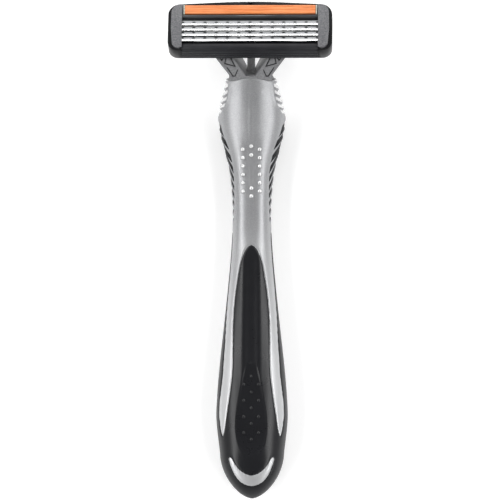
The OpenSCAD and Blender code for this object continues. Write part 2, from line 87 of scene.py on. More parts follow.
class Nodes:
    """A material's node tree, with short names for what the materials below share."""

    def __init__(self, name, **base):
        self.mat = bpy.data.materials.new(name)
        self.mat.use_nodes = True
        self.t = self.mat.node_tree
        self.bsdf = self.t.nodes["Principled BSDF"]
        self.where = self.t.nodes.new("ShaderNodeTexCoord").outputs["Object"]
        for key, value in base.items():
            self.bsdf.inputs[key.replace("_", " ")].default_value = value

    def link(self, a, b):
        self.t.links.new(a, b)

    def scaled(self, scale):
        m = self.t.nodes.new("ShaderNodeMapping")
        m.inputs["Scale"].default_value = scale
        self.link(self.where, m.inputs["Vector"])
        return m.outputs["Vector"]

    def along(self, axis):
        split = self.t.nodes.new("ShaderNodeSeparateXYZ")
        self.link(self.where, split.inputs[0])
        return split.outputs[axis]

    def noise(self, scale, detail=3.0, rough=0.55, vector=None):
        n = self.t.nodes.new("ShaderNodeTexNoise")
        n.inputs["Scale"].default_value = scale
        n.inputs["Detail"].default_value = detail
        n.inputs["Roughness"].default_value = rough
        self.link(vector or self.where, n.inputs["Vector"])
        return n.outputs["Fac"]

    def cells(self, scale):
        n = self.t.nodes.new("ShaderNodeTexVoronoi")
        n.inputs["Scale"].default_value = scale
        self.link(self.where, n.inputs["Vector"])
        return n.outputs["Distance"]

    def ramp(self, fac, stops):
        r = self.t.nodes.new("ShaderNodeValToRGB")
        set_stops(r.color_ramp, stops)
        self.link(fac, r.inputs["Fac"])
        return r.outputs["Color"]

    def span(self, fac, low, high, a=0.0, b=1.0):
        r = self.t.nodes.new("ShaderNodeMapRange")
        for name, value in (("From Min", a), ("From Max", b), ("To Min", low), ("To Max", high)):
            r.inputs[name].default_value = value
        self.link(fac, r.inputs["Value"])
        return r.outputs["Result"]

    def bump(self, height, strength, distance, under=None):
        b = self.t.nodes.new("ShaderNodeBump")
        b.inputs["Strength"].default_value = strength
        b.inputs["Distance"].default_value = distance
        self.link(height, b.inputs["Height"])
        if under is not None:
            self.link(under, b.inputs["Normal"])
        return b.outputs["Normal"]

    def mix(self, fac, a, b):
        """Mixes a to b; each is a colour or another node's output."""
        m = self.t.nodes.new("ShaderNodeMix")
        m.data_type = "RGBA"
        for key, kind, value in (("Factor", "VALUE", fac), ("A", "RGBA", a), ("B", "RGBA", b)):
            socket = [s for s in m.inputs if s.name == key and s.type == kind][0]
            if isinstance(value, tuple):
                socket.default_value = (*value, 1)
            else:
                self.link(value, socket)
        return [s for s in m.outputs if s.type == "RGBA"][0]

    def set(self, **sockets):
        """Links outputs to the shader's sockets and returns the material."""
        for key, value in sockets.items():
            self.link(value, self.bsdf.inputs[key.replace("_", " ")])
        return self.mat


def silver_paint():
    n = Nodes("silver_paint", Metallic=0.8, Coat_Weight=0.15, Coat_Roughness=0.2)
    flake = n.cells(7000)
    drift = n.noise(60, 4)
    tone = n.ramp(drift, [(0.3, (0.24, 0.242, 0.25)), (0.7, (0.28, 0.282, 0.29))])
    # painted highlight: the base is paler towards the butt, standing in for the brighter light on the strips
    # along the grip
    tone = n.mix(n.span(n.along("Y"), 0.0, 1.0, 0.010, -0.028), tone, (0.55, 0.553, 0.56))
    colour = n.mix(n.span(flake, 0.0, 0.5, 0.1, 0.8), tone, (0.50, 0.505, 0.515))
    normal = n.bump(flake, 0.22, 0.00003, n.bump(drift, 0.05, 0.0001))
    return n.set(Base_Color=colour, Roughness=n.span(n.noise(900, 2), 0.41, 0.49), Normal=normal)


def painted_highlight_silver():
    """The same silver, painted paler and made glossier as a painted highlight: the lands of the ribs and the
    nubs.
    """
    n = Nodes("painted_highlight_silver", Metallic=0.8, Coat_Weight=0.3, Coat_Roughness=0.1)
    flake = n.cells(7000)
    colour = n.ramp(flake, [(0.1, (0.58, 0.585, 0.59)), (0.8, (0.72, 0.72, 0.72))])
    rough = n.span(n.noise(900, 2), 0.26, 0.34)
    return n.set(Base_Color=colour, Roughness=rough, Normal=n.bump(flake, 0.1, 0.00003))


def grip_rubber():
    n = Nodes("grip_rubber", Specular_IOR_Level=0.34)
    grain = n.noise(5200, 3, 0.6)
    drift = n.noise(45, 4)
    colour = n.ramp(drift, [(0.3, (0.0085, 0.0087, 0.0101)), (0.75, (0.0125, 0.0128, 0.0148))])
    normal = n.bump(grain, 0.16, 0.00004)
    # polished by the hand in front, duller down the sides
    in_front = n.span(n.along("Z"), 0.0, 1.0, 0.0055, 0.0095)
    rough = n.mix(in_front, (0.55, 0.55, 0.55), n.span(n.noise(300, 3), 0.24, 0.33))
    return n.set(Base_Color=colour, Roughness=rough, Normal=normal)


def fin_rubber():
    """The grip's rubber where it wraps the sides: dull, so that the fins stay dark edge-on, and painted
    darker than the grip's rubber as painted shade.
    """
    n = Nodes("fin_rubber", Specular_IOR_Level=0.13)
    grain = n.noise(5200, 3, 0.6)
    colour = n.ramp(grain, [(0.3, (0.0052, 0.0054, 0.0063)), (0.75, (0.0085, 0.0087, 0.0102))])
    return n.set(Base_Color=colour, Roughness=n.span(grain, 0.48, 0.62), Normal=n.bump(grain, 0.1, 0.00004))


def guard_rubber():
    n = Nodes("guard_rubber", Specular_IOR_Level=0.22)
    grain = n.noise(6000, 2)
    colour = n.ramp(n.noise(150, 3), [(0.3, (0.012, 0.0125, 0.0145)), (0.75, (0.021, 0.0215, 0.0245))])
    return n.set(Base_Color=colour, Roughness=n.span(grain, 0.30, 0.42), Normal=n.bump(grain, 0.12, 0.00003))


def black_plastic():
    n = Nodes("black_plastic", Specular_IOR_Level=0.12)
    grain = n.noise(3500, 2)
    colour = n.ramp(n.noise(120, 3), [(0.3, (0.0055, 0.0057, 0.0065)), (0.8, (0.011, 0.0113, 0.0125))])
    return n.set(Base_Color=colour, Roughness=n.span(grain, 0.28, 0.38), Normal=n.bump(grain, 0.05, 0.00003))


def moulded_grey(name, dark, light, low=0.36, high=0.5):
    n = Nodes(name, Specular_IOR_Level=0.5)
    grain = n.cells(4200)
    speckle = n.noise(2600, 2)
    colour = n.ramp(speckle, [(0.32, dark), (0.7, light)])
    normal = n.bump(grain, 0.35, 0.00003, n.bump(n.noise(180, 3), 0.05, 0.0002))
    return n.set(Base_Color=colour, Roughness=n.span(speckle, low, high), Normal=normal)


def holder_plastic():
    n = Nodes("holder_plastic", Specular_IOR_Level=0.6)
    streak = n.noise(900, 2, 0.5, n.scaled((0.12, 1, 1)))
    colour = n.ramp(streak, [(0.3, (0.028, 0.029, 0.032)), (0.75, (0.050, 0.052, 0.056))])
    rough = n.span(streak, 0.14, 0.24)
    return n.set(Base_Color=colour, Roughness=rough, Normal=n.bump(streak, 0.05, 0.00003))


def lube_orange():
    n = Nodes("lube_orange", Specular_IOR_Level=0.42, Subsurface_Weight=0.12)
    n.bsdf.inputs["Subsurface Radius"].default_value = (0.0006, 0.00025, 0.0001)
    streak = n.noise(2600, 3, 0.6, n.scaled((0.06, 1, 1)))
    cloud = n.noise(380, 3, 0.6, n.scaled((0.35, 1, 1)))
    stops = [(0.3, (0.50, 0.135, 0.035)), (0.5, (0.68, 0.215, 0.065)), (0.72, (0.76, 0.28, 0.10))]
    tone = n.ramp(streak, stops)
    colour = n.mix(n.span(cloud, 0.0, 0.35, 0.45, 0.8), tone, (0.76, 0.32, 0.15))
    normal = n.bump(streak, 0.35, 0.00005)
    return n.set(Base_Color=colour, Roughness=n.span(cloud, 0.36, 0.55), Normal=normal)


def steel(name, dark, light, low, high):
    """Steel brushed along X."""
    n = Nodes(name, Metallic=1.0)
    brush = n.noise(7000, 2, 0.6, n.scaled((0.02, 1, 1)))
    cloud = n.noise(240, 3)
    colour = n.ramp(brush, [(0.3, dark), (0.7, light)])
    rough = n.span(cloud, low, high, 0.3, 0.7)
    return n.set(Base_Color=colour, Roughness=rough, Normal=n.bump(brush, 0.08, 0.00002))


MATS = {
    "silver_plastic": silver_paint(),
    "grip_rubber": grip_rubber(),
    "guard_rubber": guard_rubber(),
    "black_plastic": black_plastic(),
    "holder_plastic": holder_plastic(),
    "strip_orange": lube_orange(),
    "yoke_plastic": moulded_grey("yoke_plastic", (0.135, 0.136, 0.141), (0.205, 0.206, 0.212)),
    "strip_lock": moulded_grey("strip_lock", (0.42, 0.44, 0.38), (0.56, 0.58, 0.50)),
    "cap_plastic": moulded_grey("cap_plastic", (0.066, 0.067, 0.073), (0.150, 0.151, 0.159), 0.34, 0.48),
    "core_plastic": moulded_grey("core_plastic", (0.03, 0.03, 0.032), (0.05, 0.05, 0.054)),
    "spring_steel": steel("spring_steel", (0.42, 0.42, 0.43), (0.62, 0.62, 0.63), 0.25, 0.35),
    "support_steel": steel("support_steel", (0.30, 0.305, 0.315), (0.42, 0.425, 0.435), 0.30, 0.42),
    "blade_steel": steel("blade_steel", (0.80, 0.805, 0.81), (0.93, 0.93, 0.93), 0.16, 0.26),
    "weld_dark": steel("weld_dark", (0.015, 0.015, 0.018), (0.04, 0.04, 0.044), 0.45, 0.55),
}


# ---------------------------------------------------------------- mesh helpers
def linked(name, me, mats):
    """A new object in the scene for a mesh, with its materials."""
    ob = bpy.data.objects.new(name, me)
    bpy.context.scene.collection.objects.link(ob)
    for m in mats:
        me.materials.append(m)
    return ob


def piece(name, verts, faces, body, slot, nodes, sharp):
    """A mesh object in row metres that rides on a body."""
    me = bpy.data.meshes.new(name)
    me.from_pydata([tuple(v) for v in verts], [], [tuple(f) for f in faces])
    me.validate(clean_customdata=False)
    ob = linked(name, me, [MATS[slot]])
    finish_piece(ob, body, nodes, sharp)
    return ob


def finish_piece(ob, body, nodes, sharp=35):
    """Shades a piece smooth up to the sharp angle, and says what it rides on and replaces."""
    me = ob.data
    bm = bmesh.new()
    bm.from_mesh(me)
    bmesh.ops.recalc_face_normals(bm, faces=bm.faces)
    bm.to_mesh(me)
    bm.free()
    me.polygons.foreach_set("use_smooth", [True] * len(me.polygons))
    me.set_sharp_from_angle(angle=math.radians(sharp))
    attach(ob, body)
    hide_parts(*nodes)


def bevelled(bm, width, angle=28):
    """Rounds the edges of a bmesh that are sharper than angle."""
    edges = [e for e in bm.edges if len(e.link_faces) == 2 and e.calc_face_angle(0) > math.radians(angle)]
    if edges:
        bmesh.ops.bevel(bm, geom=edges, offset=width * MM, offset_type="OFFSET", segments=2,
                        profile=0.5, affect="EDGES", clamp_overlap=True)


def from_cad(node, body, slot, bevel):
    """A piece made from a CAD node's mesh with its sharp edges rounded."""
    bm = bmesh.new()
    bm.from_mesh(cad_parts[node].data)
    bmesh.ops.remove_doubles(bm, verts=bm.verts, dist=2e-6)
    bmesh.ops.dissolve_limit(bm, angle_limit=math.radians(1.0), verts=bm.verts, edges=bm.edges)
    bmesh.ops.recalc_face_normals(bm, faces=bm.faces)
    bevelled(bm, bevel)
    me = bpy.data.meshes.new(node + "_look")
    bm.to_mesh(me)
    bm.free()
    ob = linked(node + "_look", me, [MATS[slot]])
    finish_piece(ob, body, [node])
    return ob


def repaint(ob, mat, test):
    """Gives a second material to the faces whose centre, in part millimetres, passes the test."""
    ob.data.materials.append(mat)
    for f in ob.data.polygons:
        if test(np.array(f.center) / MM - np.array([0, SHIFT, 0])):
            f.material_index = 1


def between(start, end, bevel=0.0):
    """bmesh of a solid between two matching loops of points."""
    bm = bmesh.new()
    a, b = [[bm.verts.new(p) for p in loop] for loop in (start, end)]
    for i in range(len(a)):
        k = (i + 1) % len(a)
        bm.faces.new([a[i], a[k], b[k], b[i]])
    bm.faces.new(a[::-1])
    bm.faces.new(b)
    bmesh.ops.recalc_face_normals(bm, faces=bm.faces)
    if bevel:
        bevelled(bm, bevel)
    return bm


def prism(profile, u0, u1, place, bevel=0.0):
    """bmesh of a closed outline (a, b) run along the first axis from u0 to u1."""
    return between(*(place([[u, a, b] for a, b in profile]) for u in (u0, u1)), bevel)


def joined(name, parts, body, nodes, mats):
    """One piece from several bmeshes; a part is a bmesh, or (bmesh, material index for all its faces)."""
    me = bpy.data.meshes.new(name)
    out = bmesh.new()
    for part in parts:
        bm, index = part if isinstance(part, tuple) else (part, None)
        if index is not None:
            for f in bm.faces:
                f.material_index = index
        tmp = bpy.data.meshes.new("tmp")
        bm.to_mesh(tmp)
        out.from_mesh(tmp)
        bpy.data.meshes.remove(tmp)
        bm.free()
    out.to_mesh(me)
    out.free()
    finish_piece(linked(name, me, mats), body, nodes)


def smooth(t, a, b):
    """0 before a, 1 after b, smooth between; also falls when a > b."""
    t = np.clip((np.asarray(t, float) - a) / (b - a), 0, 1)
    return t * t * (3 - 2 * t)


def poly_distance(px, py, poly):
    """Signed distance to a closed polygon, positive inside."""
    px, py = np.asarray(px, float), np.asarray(py, float)
    best = np.full(px.shape, 1e9)
    inside = np.zeros(px.shape, bool)
    n = len(poly)
    for i in range(n):
        (ax, ay), (bx, by) = poly[i], poly[(i + 1) % n]
        ex, ey = bx - ax, by - ay
        t = np.clip(((px - ax) * ex + (py - ay) * ey) / (ex * ex + ey * ey + 1e-12), 0, 1)
        best = np.minimum(best, np.hypot(px - ax - t * ex, py - ay - t * ey))
        cross = ((ay > py) != (by > py)) & (px < (bx - ax) * (py - ay) / (by - ay + 1e-12) + ax)
        inside ^= cross
    return np.where(inside, best, -best)


def curve_through(points, steps):
    """Catmull-Rom curve through given points."""
    p = np.array(points, float)
    q = np.vstack([2 * p[0] - p[1], p, 2 * p[-1] - p[-2]])
    out = []
    for i in range(1, len(q) - 2):
        for k in range(steps):
            t = k / steps
            a, b, c, d = q[i - 1], q[i], q[i + 1], q[i + 2]
            out.append(0.5 * (2 * b + (c - a) * t + (2 * a - 5 * b + 4 * c - d) * t * t
                              + (3 * b - a - 3 * c + d) * t ** 3))
    out.append(p[-1])
    return np.array(out)


# ---------------------------------------------------------------- the handle's surface
# [y, half width, back level, front level] along the handle; the butt closes beyond the first
STATIONS = np.array([
    [-54, 8.5, 0.3, 12.0], [-45, 9.45, -0.35, 12.9], [-38, 9.2, 0.1, 12.8], [-30, 8.5, 0.7, 12.4],
    [-20, 7.4, 1.4, 11.9], [-10, 6.35, 2.0, 11.4], [0, 5.45, 2.3, 11.1], [8, 5.1, 2.2, 11.1],
    [16, 5.45, 1.5, 11.5], [22, 6.25, 0.6, 12.0], [28, 7.9, -0.25, 12.6], [34, 8.95, 0.1, 13.2],
    [38, 8.45, 2.2, 13.6], [41, 7.75, 4.5, 14.0], [45, 6.7, 7.6, 15.4], [50, 5.9, 11.0, 17.2]], float)
BUTT_Z = 6.2
# How square the cross-section is in front and behind; 2 is an ellipse
FRONT_POWER, BACK_POWER = 2.3, 2.6


def along(y, c):
    """Column c of the stations at y, on a smooth curve."""
    s, last = STATIONS, len(STATIONS) - 1
    i = np.clip(np.searchsorted(s[:, 0], y, "right") - 1, 0, last - 1)
    before, after = [np.clip(np.arange(last + 1) + k, 0, last) for k in (-1, 1)]
    grad = (s[after, c] - s[before, c]) / (s[after, 0] - s[before, 0])
    d = s[i + 1, 0] - s[i, 0]
    t = (y - s[i, 0]) / d
    a, b = s[i, c], s[i + 1, c]
    return (a * (1 + 2 * t) * (1 - t) ** 2 + grad[i] * d * t * (1 - t) ** 2
            + b * t * t * (3 - 2 * t) + grad[i + 1] * d * t * t * (t - 1))


def closing(y):
    """Size of the butt's cross-section at y, as a share of the first station's."""
    return np.maximum(1 - (np.maximum(STATIONS[0, 0] - y, 0) / (STATIONS[0, 0] - BUTT_Y)) ** 1.8, 0) ** 0.62


def extent(y):
    """Half width, back and front level of the handle at y."""
    low = y < STATIONS[0, 0]
    k = closing(np.minimum(y, STATIONS[0, 0]))
    yy = np.maximum(y, STATIONS[0, 0])
    w = np.where(low, STATIONS[0, 1] * k, along(yy, 1))
    zb = np.where(low, BUTT_Z + (STATIONS[0, 2] - BUTT_Z) * k, along(yy, 2))
    zf = np.where(low, BUTT_Z + (STATIONS[0, 3] - BUTT_Z) * k, along(yy, 3))
    return w, zb, zf


def surface(y, a):
    """Point of the plain handle surface at y and at angle a from +X."""
    w, zb, zf = extent(y)
    mid, half = (zb + zf) / 2, (zf - zb) / 2
    power = 2 / np.where(np.sin(a) >= 0, FRONT_POWER, BACK_POWER)
    across, up = [np.sign(v) * np.abs(v) ** power for v in (np.cos(a), np.sin(a))]
    return np.stack([w * across, y + 0 * a, mid + half * up], -1)


def spread(marks):
    """Values from one mark to the next at each mark's own spacing."""
    out = []
    for (a, step), (b, _) in zip(marks[:-1], marks[1:]):
        n = max(1, round((b - a) / step))
        out += [a + (b - a) * k / n for k in range(n)]
    return np.array(out + [marks[-1][0]])


# Rings close together where the ribs and fins are, and spokes close together over the front's edges
ring_t = np.linspace(0, 1, 34)[:-1]
RING_Y = np.concatenate([BUTT_Y + 0.004 + (STATIONS[0, 0] - BUTT_Y) * ring_t ** 1.9,
                         spread([(-54, 0.28), (3, 0.2), (46.6, 1)])])
half_turn = spread([(0, 2.1), (28, 1.15), (90, 1)])
front_angles = np.concatenate([half_turn[:-1], 180 - half_turn[::-1]])
back_angles = 180 + spread([(0, 2.1), (28, 3.2), (152, 2.1), (180, 1)])[1:-1]
ANGLES = np.radians(np.concatenate([front_angles, back_angles]))
GY, GA = np.meshgrid(RING_Y, ANGLES, indexing="ij")
P0 = surface(GY, GA)


def grid_slopes(P):
    """Steps of the grid along the handle and round it."""
    Pu = np.gradient(P, axis=0)
    Pv = (np.roll(P, -1, 1) - np.roll(P, 1, 1)) / 2
    return Pu, Pv


def grid_normals(P):
    """Outward normals of the ring grid; round the tip they turn to the handle's axis."""
    Pu, Pv = grid_slopes(P)
    n = np.cross(Pu, Pv)
    n /= np.linalg.norm(n, axis=-1, keepdims=True) + 1e-12
    if n[len(n) // 2, 0, 0] < 0:
        n = -n
    near = (1 - smooth(P[..., 1], BUTT_Y + 0.05, BUTT_Y + 0.6))[..., None]
    n = n * (1 - near) + np.array([0, -1, 0]) * near
    return n / (np.linalg.norm(n, axis=-1, keepdims=True) + 1e-12)


def true_distance(f, P):
    """Turns a field that is zero on a line into a distance from that line along the surface."""
    Pu, Pv = grid_slopes(P)
    fu = np.gradient(f, axis=0)
    fv = (np.roll(f, -1, 1) - np.roll(f, 1, 1)) / 2
    g11, g22, g12 = (Pu ** 2).sum(-1), (Pv ** 2).sum(-1), (Pu * Pv).sum(-1)
    det = np.maximum(g11 * g22 - g12 ** 2, 1e-12)
    slope = np.sqrt(np.maximum(g22 * fu ** 2 - 2 * g12 * fu * fv + g11 * fv ** 2, 0) / det)
    return f / np.clip(slope, 0.25, 3.0)


# Outlines of the silver, close to the part's: [y, half width], and [y, z] for the sides
TEARDROP = [[1.2, 0], [0.9, 0.75], [0.0, 1.55], [-1.4, 2.2], [-4, 3.0], [-8, 3.75], [-13, 4.45],
            [-18, 4.85], [-24, 4.95], [-29, 4.97], [-33, 5.15], [-37, 5.6], [-42, 6.35], [-45, 6.82],
            [-47.5, 7.2], [-49.3, 7.62]]
LEAF_EDGE = [[-49.3, 7.70], [-48.6, 7.95], [-47.2, 8.25], [-44.5, 8.55], [-42, 8.58], [-39, 8.35],
             [-36, 8.0], [-33, 7.65], [-29, 7.4], [-24, 7.05], [-18, 6.75], [-12, 6.3], [-6, 5.75], [0, 5.3],
             [4, 5.12], [6, 5.3]]
SIDE_EDGE = [[-70, 6.6], [-12, 6.7], [0, 6.4], [8, 5.0], [16, 3.6], [26, 3.3], [32, 3.6], [36, 3.2], [38, -3]]
# [x, y, slant, thickness] of each fin at its tip
FINS = [[7.7, 30.7, 36, 1.45], [6.15, 26.8, 40, 1.1], [5.25, 23.2, 48, 0.95], [4.85, 20.4, 55, 0.8],
        [4.75, 18.0, 58, 0.7], [4.7, 15.8, 58, 0.66], [4.7, 13.7, 56, 0.66], [4.75, 11.6, 52, 0.66],
        [4.8, 9.5, 50, 0.66], [4.85, 7.4, 48, 0.66]]
CRESCENT = [[0, -62.5], [1.6, -62.15], [3.35, -61.05], [4.66, -59.25], [5.55, -57.25], [6.03, -55.4],
            [5.95, -54.95], [5.6, -54.85], [5.3, -55.15], [4.66, -56.3], [3.56, -57.85], [2.24, -58.95],
            [0.92, -59.55], [0, -59.7]]

X, Y, Z = P0[..., 0], P0[..., 1], P0[..., 2]
AX = np.abs(X)
HALF_W, BACK_Z, FRONT_Z = extent(GY)
FRONT = np.sin(GA) >= 0

# Each field below is positive inside what it names
tear_tip = TEARDROP[0][0]
tear, leaf = [[(x, y) for y, x in curve_through(line, 5)] for line in (TEARDROP, LEAF_EDGE)]
main = poly_distance(AX, Y, [(0, 60), (0, tear_tip)] + tear + leaf + [(12, 7), (12, 60)])
main = np.where((AX < 0.6) & (Y > tear_tip), np.maximum(main, np.minimum(Y - tear_tip, 5)), main)
side = np.interp(Y, *zip(*SIDE_EDGE))
silver = np.minimum(main, Z - side)


def front_at(x, y):
    """Level of the plain front over (x, y)."""
    w, zb, zf = [float(v[0]) for v in extent(np.array([y]))]
    mid = (zb + zf) / 2
    return mid + (zf - mid) * (1 - min(abs(x) / w, 1) ** FRONT_POWER) ** (1 / FRONT_POWER)


# The fins are slabs across the sides; each ends over the front at its tip
FIN_LEAN = math.radians(16)
FIN_RISE = 0.4
SLABS = [(x, y, math.radians(slant), thick, front_at(x, y)) for x, y, slant, thick in FINS]


def past_fin(fin, x, y, z):
    """Distance of a point from a fin's middle plane, positive towards the head."""
    tx, ty, slant, _, front = fin
    level = -math.sin(slant) * (abs(x) - tx) + math.cos(slant) * (y - ty - FIN_RISE)
    return level * math.cos(FIN_LEAN) + (z - front) * math.sin(FIN_LEAN)


fins = np.full(X.shape, -9.0)
for fin in SLABS:
    fins = np.maximum(fins, 0.58 * fin[3] - np.abs(past_fin(fin, X, Y, Z)))
tip_line = np.interp(-Y, [-36] + [-f[1] for f in FINS] + [-4], [9.2] + [f[0] for f in FINS] + [5.1])
fins = np.minimum(fins, np.where(Z > 6.4, AX - tip_line, 9))
fins = np.minimum(fins, np.minimum(Y - 4, 37 - Y))
silver = np.minimum(silver, -fins)

crescent = poly_distance(AX, Y, [tuple(p) for p in curve_through(CRESCENT, 4)] + [(-1, -59.7), (-1, -62.5)])
silver = np.where(FRONT, np.maximum(silver, crescent), silver)
# The handle stops at the seam with the neck
NECK_AXIS = np.array([0, math.cos(NECK_TILT), math.sin(NECK_TILT)])
seam = np.interp(AX, [0, 1.3, 6.5, 20], [1.75, 1.75, 0.5, -0.75])
seam = seam - ((Y - NECK[0]) * NECK_AXIS[1] + (Z - NECK[1]) * NECK_AXIS[2])

edge = true_distance(silver, P0)
N0 = grid_normals(P0)


def shoulder(d, r, depth):
    """Sink of a rounded edge at distance d from a parting line."""
    t = np.clip(1 - np.abs(d) / r, 0, 1)
    return -depth * (1 - np.sqrt(np.maximum(1 - t ** 2, 0)))


# Depths and heights of the relief
VALLEY, RIDGE, CHANNEL, PAD_SINK, THUMB_DIP = 0.08, 0.07, 0.22, 0.07, 0.22
PANEL_DROP, CREASE, RIB_DEPTH, PANEL_LIP, FIN_SINK = 0.10, 0.09, 0.50, 0.07, 0.26

# Relief of the front: a soft ridge between two shallow valleys on the shoulders, then one channel
# down to the rubber and a narrower one along it
relief = np.zeros(X.shape)
upper = smooth(Y, 25.5, 33) * smooth(Y, 44.5, 39)
valley_x = np.interp(Y, [24, 29, 34, 40], [2.1, 3.1, 4.2, 4.4])
relief -= VALLEY * np.exp(-((AX - valley_x) / 1.7) ** 2) * upper
relief += RIDGE * np.exp(-(X / 0.8) ** 2) * upper * smooth(Y, 40.0, 36.5)
relief -= CHANNEL * (1 - smooth(AX, 0.2, 3.6)) * smooth(Y, 32, 26) * smooth(Y, 0.2, 6.5)
groove = 0.17 * (1 - smooth(AX, 0.3, 2.1)) - 0.09 * np.exp(-((AX - 2.3) / 0.9) ** 2)
above_pad = smooth(Y, -42, -31)
relief -= groove * smooth(Y, 1.4, -4.0) * above_pad

# The thumb pad is flat from edge to edge, a little below the surface round it
PAD_TOP, PAD_FOOT = -29.5, -54.8
PAD = curve_through([(0, PAD_TOP), (1.3, -30.4), (2.2, -33.2), (2.95, -37.2), (3.65, -41.2), (4.1, -45.0),
                     (4.1, -48.2), (3.6, -51.0), (2.7, -53.0), (1.5, -54.3), (0, PAD_FOOT)], 6)
pad = poly_distance(AX, Y, [(-1, PAD_TOP)] + [tuple(p) for p in PAD] + [(-1, PAD_FOOT)])
pad_half = np.interp(-Y, [-p[1] for p in PAD], [p[0] for p in PAD])
mid_z = (BACK_Z + FRONT_Z) / 2
across = 1 - np.clip(pad_half / np.maximum(HALF_W, 1), 0, 0.99) ** FRONT_POWER
pad_level = mid_z + (FRONT_Z - mid_z) * across ** (1 / FRONT_POWER) - Z - PAD_SINK
relief += (pad_level + groove * above_pad) * smooth(pad, -0.15, 0.35) * (Y < -29)
relief -= THUMB_DIP * smooth(-Y, 50, 57) * smooth(-Y, 62, 57.5) * (1 - smooth(AX, 1.0, 5.0))
relief *= FRONT

# Panel that falls away towards the neck, below a fine crease
CREASE_Y = 41.35
relief -= PANEL_DROP * smooth(Y, CREASE_Y, CREASE_Y + 1.4) * FRONT * (1 - smooth(AX, 4.2, 5.6))
relief += CREASE * np.exp(-((Y - CREASE_Y) / 0.22) ** 2) * FRONT * (1 - smooth(AX, 2.7, 3.3))


# Ribs on the shoulders' flanks, outside the panel's edge
RIB_PITCH = 1.72


def panel_edge(y):
    return np.interp(y, [34.6, 36.6, 38.4, 40.2, 43.2, 46], [8.9, 7.7, 6.75, 6.25, 5.95, 5.85])


def rib_beat(y, out):
    """Place between two ribs, 0 to 1 with the land at 0.5, at y and at a distance out from the panel."""
    return (((46 - y) - 0.45 * out) / RIB_PITCH) % 1.0


panel_x = panel_edge(Y)
on_side = smooth(Z, 3.4, 5.0)
flank = smooth(AX - panel_x, 0.0, 0.25) * smooth(Y, 35.3, 36.2) * on_side
lands = smooth(np.abs(rib_beat(Y, AX - panel_x) - 0.5), 0.40, 0.22)
relief -= flank * RIB_DEPTH * (1 - lands)
relief += PANEL_LIP * np.exp(-((AX - panel_x + 0.15) / 0.28) ** 2) * smooth(Y, 35.3, 36.6) * on_side

# Rubber lies below the silver on the fins; the edges at the parting lines and the seam are rounded
fin_edge = true_distance(fins, P0)
relief -= FIN_SINK * smooth(fin_edge, -0.05, 0.22) * (edge < 0)
round_off = shoulder(edge, 0.42, 0.24) + shoulder(np.maximum(seam, 0), 0.5, 0.28)
P = P0 + N0 * (relief + round_off)[..., None]
P[..., 2] = np.maximum(P[..., 2], 0.0)
N = grid_normals(P)


def clip_keep(verts, fields, faces, f):
    """Keeps the part of each face where field f is positive; cuts through the others."""
    value = fields[f]
    verts, fields = [list(v) for v in verts], {k: list(v) for k, v in fields.items()}
    cache, kept = {}, []

    def cut(i, j):
        key = (i, j) if i < j else (j, i)
        if key not in cache:
            a, b = key
            t = value[a] / (value[a] - value[b])
            cache[key] = len(verts)
            verts.append([p + (q - p) * t for p, q in zip(verts[a], verts[b])])
            for k in fields:
                fields[k].append(fields[k][a] + (fields[k][b] - fields[k][a]) * t)
            fields[f][-1] = 0.0
        return cache[key]

    sign = np.asarray(value) > 0
    for face in faces:
        inside = sum(bool(sign[i]) for i in face)
        if inside == len(face):
            kept.append(tuple(face))
        elif inside:
            new = []
            for i, j in zip(face, face[1:] + face[:1]):
                if sign[i]:
                    new.append(i)
                if sign[i] != sign[j]:
                    new.append(cut(i, j))
            if len(new) > 2:
                kept.append(tuple(new))
    return np.array(verts), {k: np.array(v) for k, v in fields.items()}, kept


def shell_from_grid(value, thickness):
    """Closed shell of the grid's surface where value is positive and below the neck's seam."""
    ni, nj = P.shape[:2]
    verts = np.concatenate([P, N], -1).reshape(-1, 6)
    fields = {"v": value.reshape(-1).copy(), "s": seam.reshape(-1).copy(), "t": thickness.reshape(-1).copy()}
    for k in ("v", "s"):
        fields[k][np.abs(fields[k]) < 1e-4] = 1e-4
    i, j = np.meshgrid(np.arange(ni - 1), np.arange(nj), indexing="ij")
    k = (j + 1) % nj
    quads = np.stack([i * nj + j, (i + 1) * nj + j, (i + 1) * nj + k, i * nj + k], -1).reshape(-1, 4)
    alive = (fields["v"][quads] > 0).any(1) & (fields["s"][quads] > 0).any(1)
    faces = [tuple(int(x) for x in q) for q in quads[alive]]
    verts, fields, faces = clip_keep(verts, fields, faces, "v")
    verts, fields, faces = clip_keep(verts, fields, faces, "s")
    if (fields["v"][:nj] > 0).all():
        faces.append(tuple(range(nj)))
    used = sorted({i for f in faces for i in f})
    index = {old: new for new, old in enumerate(used)}
    v, t = verts[used], fields["t"][used]
    at_seam = np.abs(fields["s"][used]) < 1e-6
    faces = [tuple(index[i] for i in f) for f in faces]
    normal = v[:, 3:] / (np.linalg.norm(v[:, 3:], axis=1, keepdims=True) + 1e-12)
    inner = v[:, :3] - normal * t[:, None]
    lift = ((inner - v[:, :3]) @ NECK_AXIS)[:, None] * NECK_AXIS
    inner[at_seam] -= lift[at_seam]
    n = len(v)
    count = {}
    for f in faces:
        for a, b in zip(f, f[1:] + f[:1]):
            count[(a, b)] = count.get((a, b), 0) + 1
    rim = [(a, b) for (a, b) in count if (b, a) not in count]
    all_faces = list(faces) + [tuple(i + n for i in reversed(f)) for f in faces]
    all_faces += [(b, a, a + n, b + n) for a, b in rim]
    return np.concatenate([v[:, :3], inner]), all_faces


